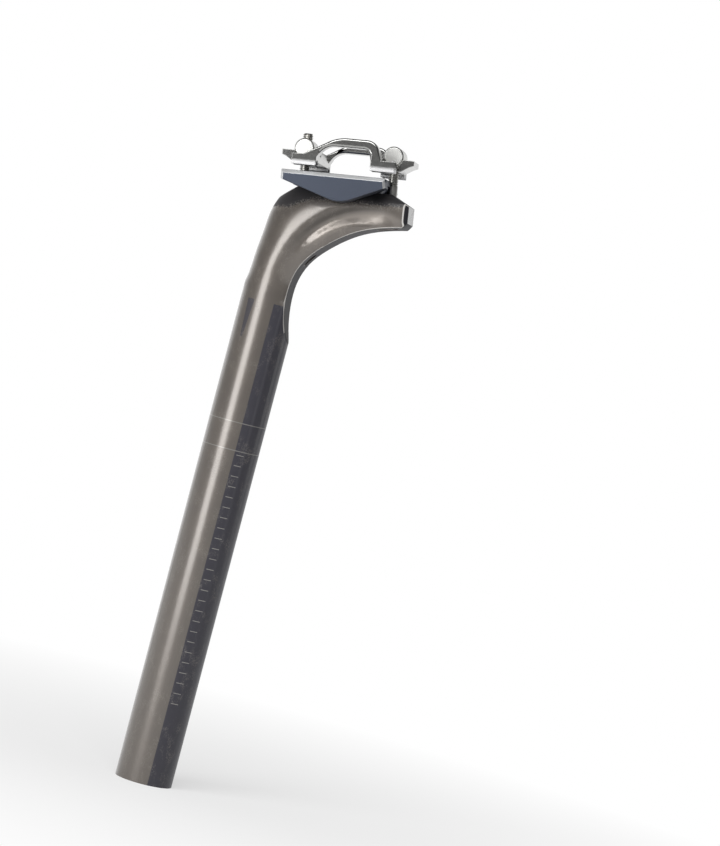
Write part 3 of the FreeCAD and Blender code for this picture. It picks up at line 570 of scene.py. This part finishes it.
def bolt_piece(name, along, length, threaded, looks, material):
    """A socket-head cap screw, its head below the post's wall and its rolled thread upwards."""
    foot = in_clamp(along, BOLT_SEAT)
    mesh = bmesh.new()
    pitch = looks.pitch / MM
    thread_foot = length - threaded
    # Shank and cap; the shank runs a little way into the thread's foot.
    profile = [(0.0, thread_foot + 0.4), (2.1, thread_foot + 0.4), (2.45, thread_foot), (2.45, 0.3),
               (2.75, 0.0), (4.05, 0.0), (4.25, -0.25), (4.25, -4.3), (4.05, -4.85),
               (3.6, -HEAD_HEIGHT), (2.55, -HEAD_HEIGHT)]
    turned_ring(mesh, foot, SQUARE, ALONG, profile)
    # The hexagon socket, sunk from the head's face.
    rim = [edge for edge in mesh.edges if edge.is_boundary]
    face = Matrix.Translation(foot - SQUARE * HEAD_HEIGHT * MM) @ CLAMP_FRAME.to_3x3().to_4x4()
    flats = bmesh.ops.create_circle(mesh, segments=6, radius=SOCKET_FLATS / math.sqrt(3) * MM,
                                    matrix=face)["verts"]
    sides = list({edge for vert in flats for edge in vert.link_edges})
    bmesh.ops.subdivide_edges(mesh, edges=sides, cuts=7)
    inner = [edge for edge in mesh.edges if edge.is_wire]
    bmesh.ops.bridge_loops(mesh, edges=[edge for edge in rim if edge.is_valid] + inner)
    hole = [edge for edge in mesh.edges if edge.is_boundary]
    pushed = bmesh.ops.extrude_edge_only(mesh, edges=hole)["geom"]
    deep = [item for item in pushed if isinstance(item, bmesh.types.BMVert)]
    bmesh.ops.translate(mesh, verts=deep, vec=SQUARE * SOCKET_DEPTH * MM)
    bmesh.ops.holes_fill(mesh, edges=[edge for edge in mesh.edges if edge.is_boundary])
    bmesh.ops.remove_doubles(mesh, verts=mesh.verts, dist=WELD)
    bmesh.ops.recalc_face_normals(mesh, faces=mesh.faces)

    # One pitch of the thread's outline, carried up a helix.
    thread = bmesh.new()
    start = thread_foot - pitch
    outline = [(THREAD_ROOT, 0.0), (THREAD_ROOT, 0.25), (THREAD_CREST, 0.5), (THREAD_CREST, 0.6),
               (THREAD_ROOT, THREAD_RUN)]
    steps, turns = 32, math.ceil(threaded / pitch) + 2
    spots = [foot + (ALONG * radius + SQUARE * (start + height * pitch / THREAD_RUN)) * MM
             for radius, height in outline]
    verts = [thread.verts.new(spot) for spot in spots]
    edges = [thread.edges.new(pair) for pair in zip(verts, verts[1:])]
    bmesh.ops.spin(thread, geom=verts + edges, cent=foot, axis=SQUARE, angle=math.tau * turns,
                   steps=steps * turns, dvec=SQUARE * (looks.pitch / steps))
    bmesh.ops.remove_doubles(thread, verts=thread.verts, dist=WELD)
    for height, way in ((thread_foot, -1), (length, 1)):
        bmesh.ops.bisect_plane(thread, geom=thread.verts[:] + thread.edges[:] + thread.faces[:],
                               plane_co=foot + SQUARE * height * MM, plane_no=SQUARE * way,
                               clear_outer=True)
    # The tip is chamfered.
    for vert in thread.verts:
        offset = vert.co - foot
        height = offset.dot(SQUARE)
        sideways = offset - SQUARE * height
        most = (THREAD_CREST - 0.6) * MM + (length * MM - height)
        if sideways.length > most:
            vert.co -= sideways * (1 - most / sideways.length)
    bmesh.ops.holes_fill(thread, edges=[edge for edge in thread.edges if edge.is_boundary])
    bmesh.ops.recalc_face_normals(thread, faces=thread.faces)
    part = bpy.data.meshes.new(name + "_thread")
    thread.to_mesh(part)
    thread.free()
    mesh.from_mesh(part)
    bpy.data.meshes.remove(part)
    return finished(name + "_screw", mesh, material, smooth=math.radians(30))


class SEATPOST_OT_hardware(bpy.types.Operator):
    """Finish the bolts, nuts and washers"""
    bl_idname = "seatpost.hardware"
    bl_label = "Bolts, nuts and washers"

    def execute(self, context):
        looks = context.scene.clamp_looks
        # Steel drawn and turned: a pale satin, its fine marks along the nut.
        turned = metal_material("turned_steel", looks.turned, 0.34, 0.3 * MM, (1, 0.1, 1))
        # Zinc-plated steel: a soft grey gloss.
        plated = metal_material("plated_steel", looks.plated, 0.28, 0.3 * MM)
        # Hardened steel: darker and plain.
        hard = metal_material("hardened_steel", looks.washer, 0.35, 0.3 * MM)
        for side, along, length, threaded in BOLTS:
            screw = bolt_piece(side + "_bolt", along, length, threaded, looks, plated)
            stand_for(screw, side + "_bolt")
            for node, material, slot in ((side + "_barrel_nut", turned, "steel"),
                                         (side + "_washer", hard, "washer_steel")):
                mesh = copy_of(node)
                break_edges(mesh, corners(mesh, math.radians(30)), 0.12 * MM)
                stand_for(even_shading(finished(node + "_turned", mesh, material)), node)
        return {"FINISHED"}


def softbox(name, spot, target, width, height, power, roll):
    """A soft rectangular lamp that looks at a point, its height along a given way."""
    data = bpy.data.lights.new(name, "AREA")
    data.shape, data.size, data.size_y, data.energy = "RECTANGLE", width, height, power
    lamp = bpy.data.objects.new(name, data)
    bpy.context.scene.collection.objects.link(lamp)
    back = (spot - target).normalized()
    right = roll.cross(back).normalized()
    turn = Matrix((right, back.cross(right), back)).transposed().to_4x4()
    lamp.matrix_world = Matrix.Translation(spot) @ turn


class SEATPOST_OT_stage(bpy.types.Operator):
    """Set up the floor, backdrop, lamps and camera"""
    bl_idname = "seatpost.stage"
    bl_label = "Stage"

    def execute(self, context):
        looks = context.scene.stage_looks
        lean, swing = looks.lean, looks.swing
        right = Vector((math.cos(swing) * math.cos(lean), math.sin(swing),
                        math.cos(swing) * math.sin(lean)))
        up = Vector((-math.sin(lean), 0, math.cos(lean)))
        towards = right.cross(up)
        target = Vector((0, 0, 185.2 * MM)) + right * 54.6 * MM - up * 10.8 * MM
        data = bpy.data.cameras.new("view")
        data.sensor_fit, data.sensor_width = "HORIZONTAL", 36
        data.lens = 36 * looks.distance / looks.width
        data.clip_start = 0.01
        camera = bpy.data.objects.new("view", data)
        context.scene.collection.objects.link(camera)
        camera.matrix_world = Matrix.Translation(target + towards * looks.distance) @ Matrix(
            (right, up, towards)).transposed().to_4x4()
        context.scene.camera = camera

        middle = Vector((0.015, 0, 0.17))
        shaft = Vector((0, 0, 1))
        turn = math.radians(38)
        side = (towards * math.cos(turn) - right * math.sin(turn)).normalized()
        softbox("key", middle + side * 0.9 + up * 0.08, middle, 0.38, 1.1, looks.key, shaft)
        softbox("fill", middle + up * 0.68 + towards * 0.62, middle, 0.7, 0.45, looks.fill, up)

        world = bpy.data.worlds.new("studio")
        context.scene.world = world
        world.use_nodes = True
        tree = world.node_tree
        ground = tree.nodes["Background"]
        path = add(tree, "LightPath").outputs
        # Reflections see a pale backdrop behind the object, and a dim room before it and overhead.
        way = add(tree, "TexCoord").outputs["Generated"]
        height = add(tree, "SeparateXYZ", _0=way).outputs[2]
        front = add(tree, "VectorMath", {"operation": "DOT_PRODUCT"}, _0=way,
                    _1=towards).outputs["Value"]
        smooth = {"clamp": True, "interpolation_type": "SMOOTHSTEP"}
        ceiling = add(tree, "MapRange", smooth, Value=height, From_Min=0.25, From_Max=0.8,
                      To_Min=1.0, To_Max=0.15).outputs[0]
        room = add(tree, "MapRange", smooth, Value=front, From_Min=-0.85, From_Max=-0.15,
                   To_Min=1.0, To_Max=0.2).outputs[0]
        surround = maths(tree, "MULTIPLY", ceiling, room)
        level = add(tree, "Mix", {"data_type": "FLOAT"}, _0=path["Is Glossy Ray"], _2=looks.ambient,
                    _3=surround)
        # The backdrop itself is white.
        seen = maths(tree, "MAXIMUM", path["Is Camera Ray"], path["Is Transmission Ray"])
        level = add(tree, "Mix", {"data_type": "FLOAT"}, _0=seen, _2=level.outputs[0], _3=1.0).outputs[0]
        tree.links.new(level, ground.inputs["Strength"])
        ground.inputs["Color"].default_value = (1, 1, 1, 1)

        mesh = bmesh.new()
        bmesh.ops.create_circle(mesh, cap_ends=True, segments=64, radius=2.5)
        floor = finished("floor", mesh, floor_material())
        context.scene.view_settings.view_transform = "Standard"
        return {"FINISHED"}


class SEATPOST_PT_panel(bpy.types.Panel):
    """The seatpost's pieces in the sidebar"""
    bl_label = "Suspension Seatpost"
    bl_idname = "SEATPOST_PT_panel"
    bl_space_type = "VIEW_3D"
    bl_region_type = "UI"
    bl_category = "Seatpost"

    def draw(self, context):
        for step in OPERATORS:
            self.layout.operator(step.bl_idname)
        for group in GROUPS:
            looks = getattr(context.scene, GROUPS[group])
            for name in group.__annotations__:
                self.layout.prop(looks, name)


GROUPS = {CarbonLooks: "carbon_looks", ClampLooks: "clamp_looks", StageLooks: "stage_looks"}
OPERATORS = (SEATPOST_OT_stage, SEATPOST_OT_post, SEATPOST_OT_cradle, SEATPOST_OT_yoke,
             SEATPOST_OT_hardware)


def register():
    """Make the settings, operators and panel known to Blender."""
    for group, name in GROUPS.items():
        bpy.utils.register_class(group)
        setattr(bpy.types.Scene, name, PointerProperty(type=group))
    for step in OPERATORS:
        bpy.utils.register_class(step)
    bpy.utils.register_class(SEATPOST_PT_panel)


def unregister():
    """Take the settings, operators and panel out again."""
    bpy.utils.unregister_class(SEATPOST_PT_panel)
    for step in OPERATORS:
        bpy.utils.unregister_class(step)
    for group, name in GROUPS.items():
        delattr(bpy.types.Scene, name)
        bpy.utils.unregister_class(group)


def main():
    """Build everything in order."""
    register()
    for step in OPERATORS:
        group, name = step.bl_idname.split(".")
        getattr(getattr(bpy.ops, group), name)()


if __name__ == "__main__":
    main()
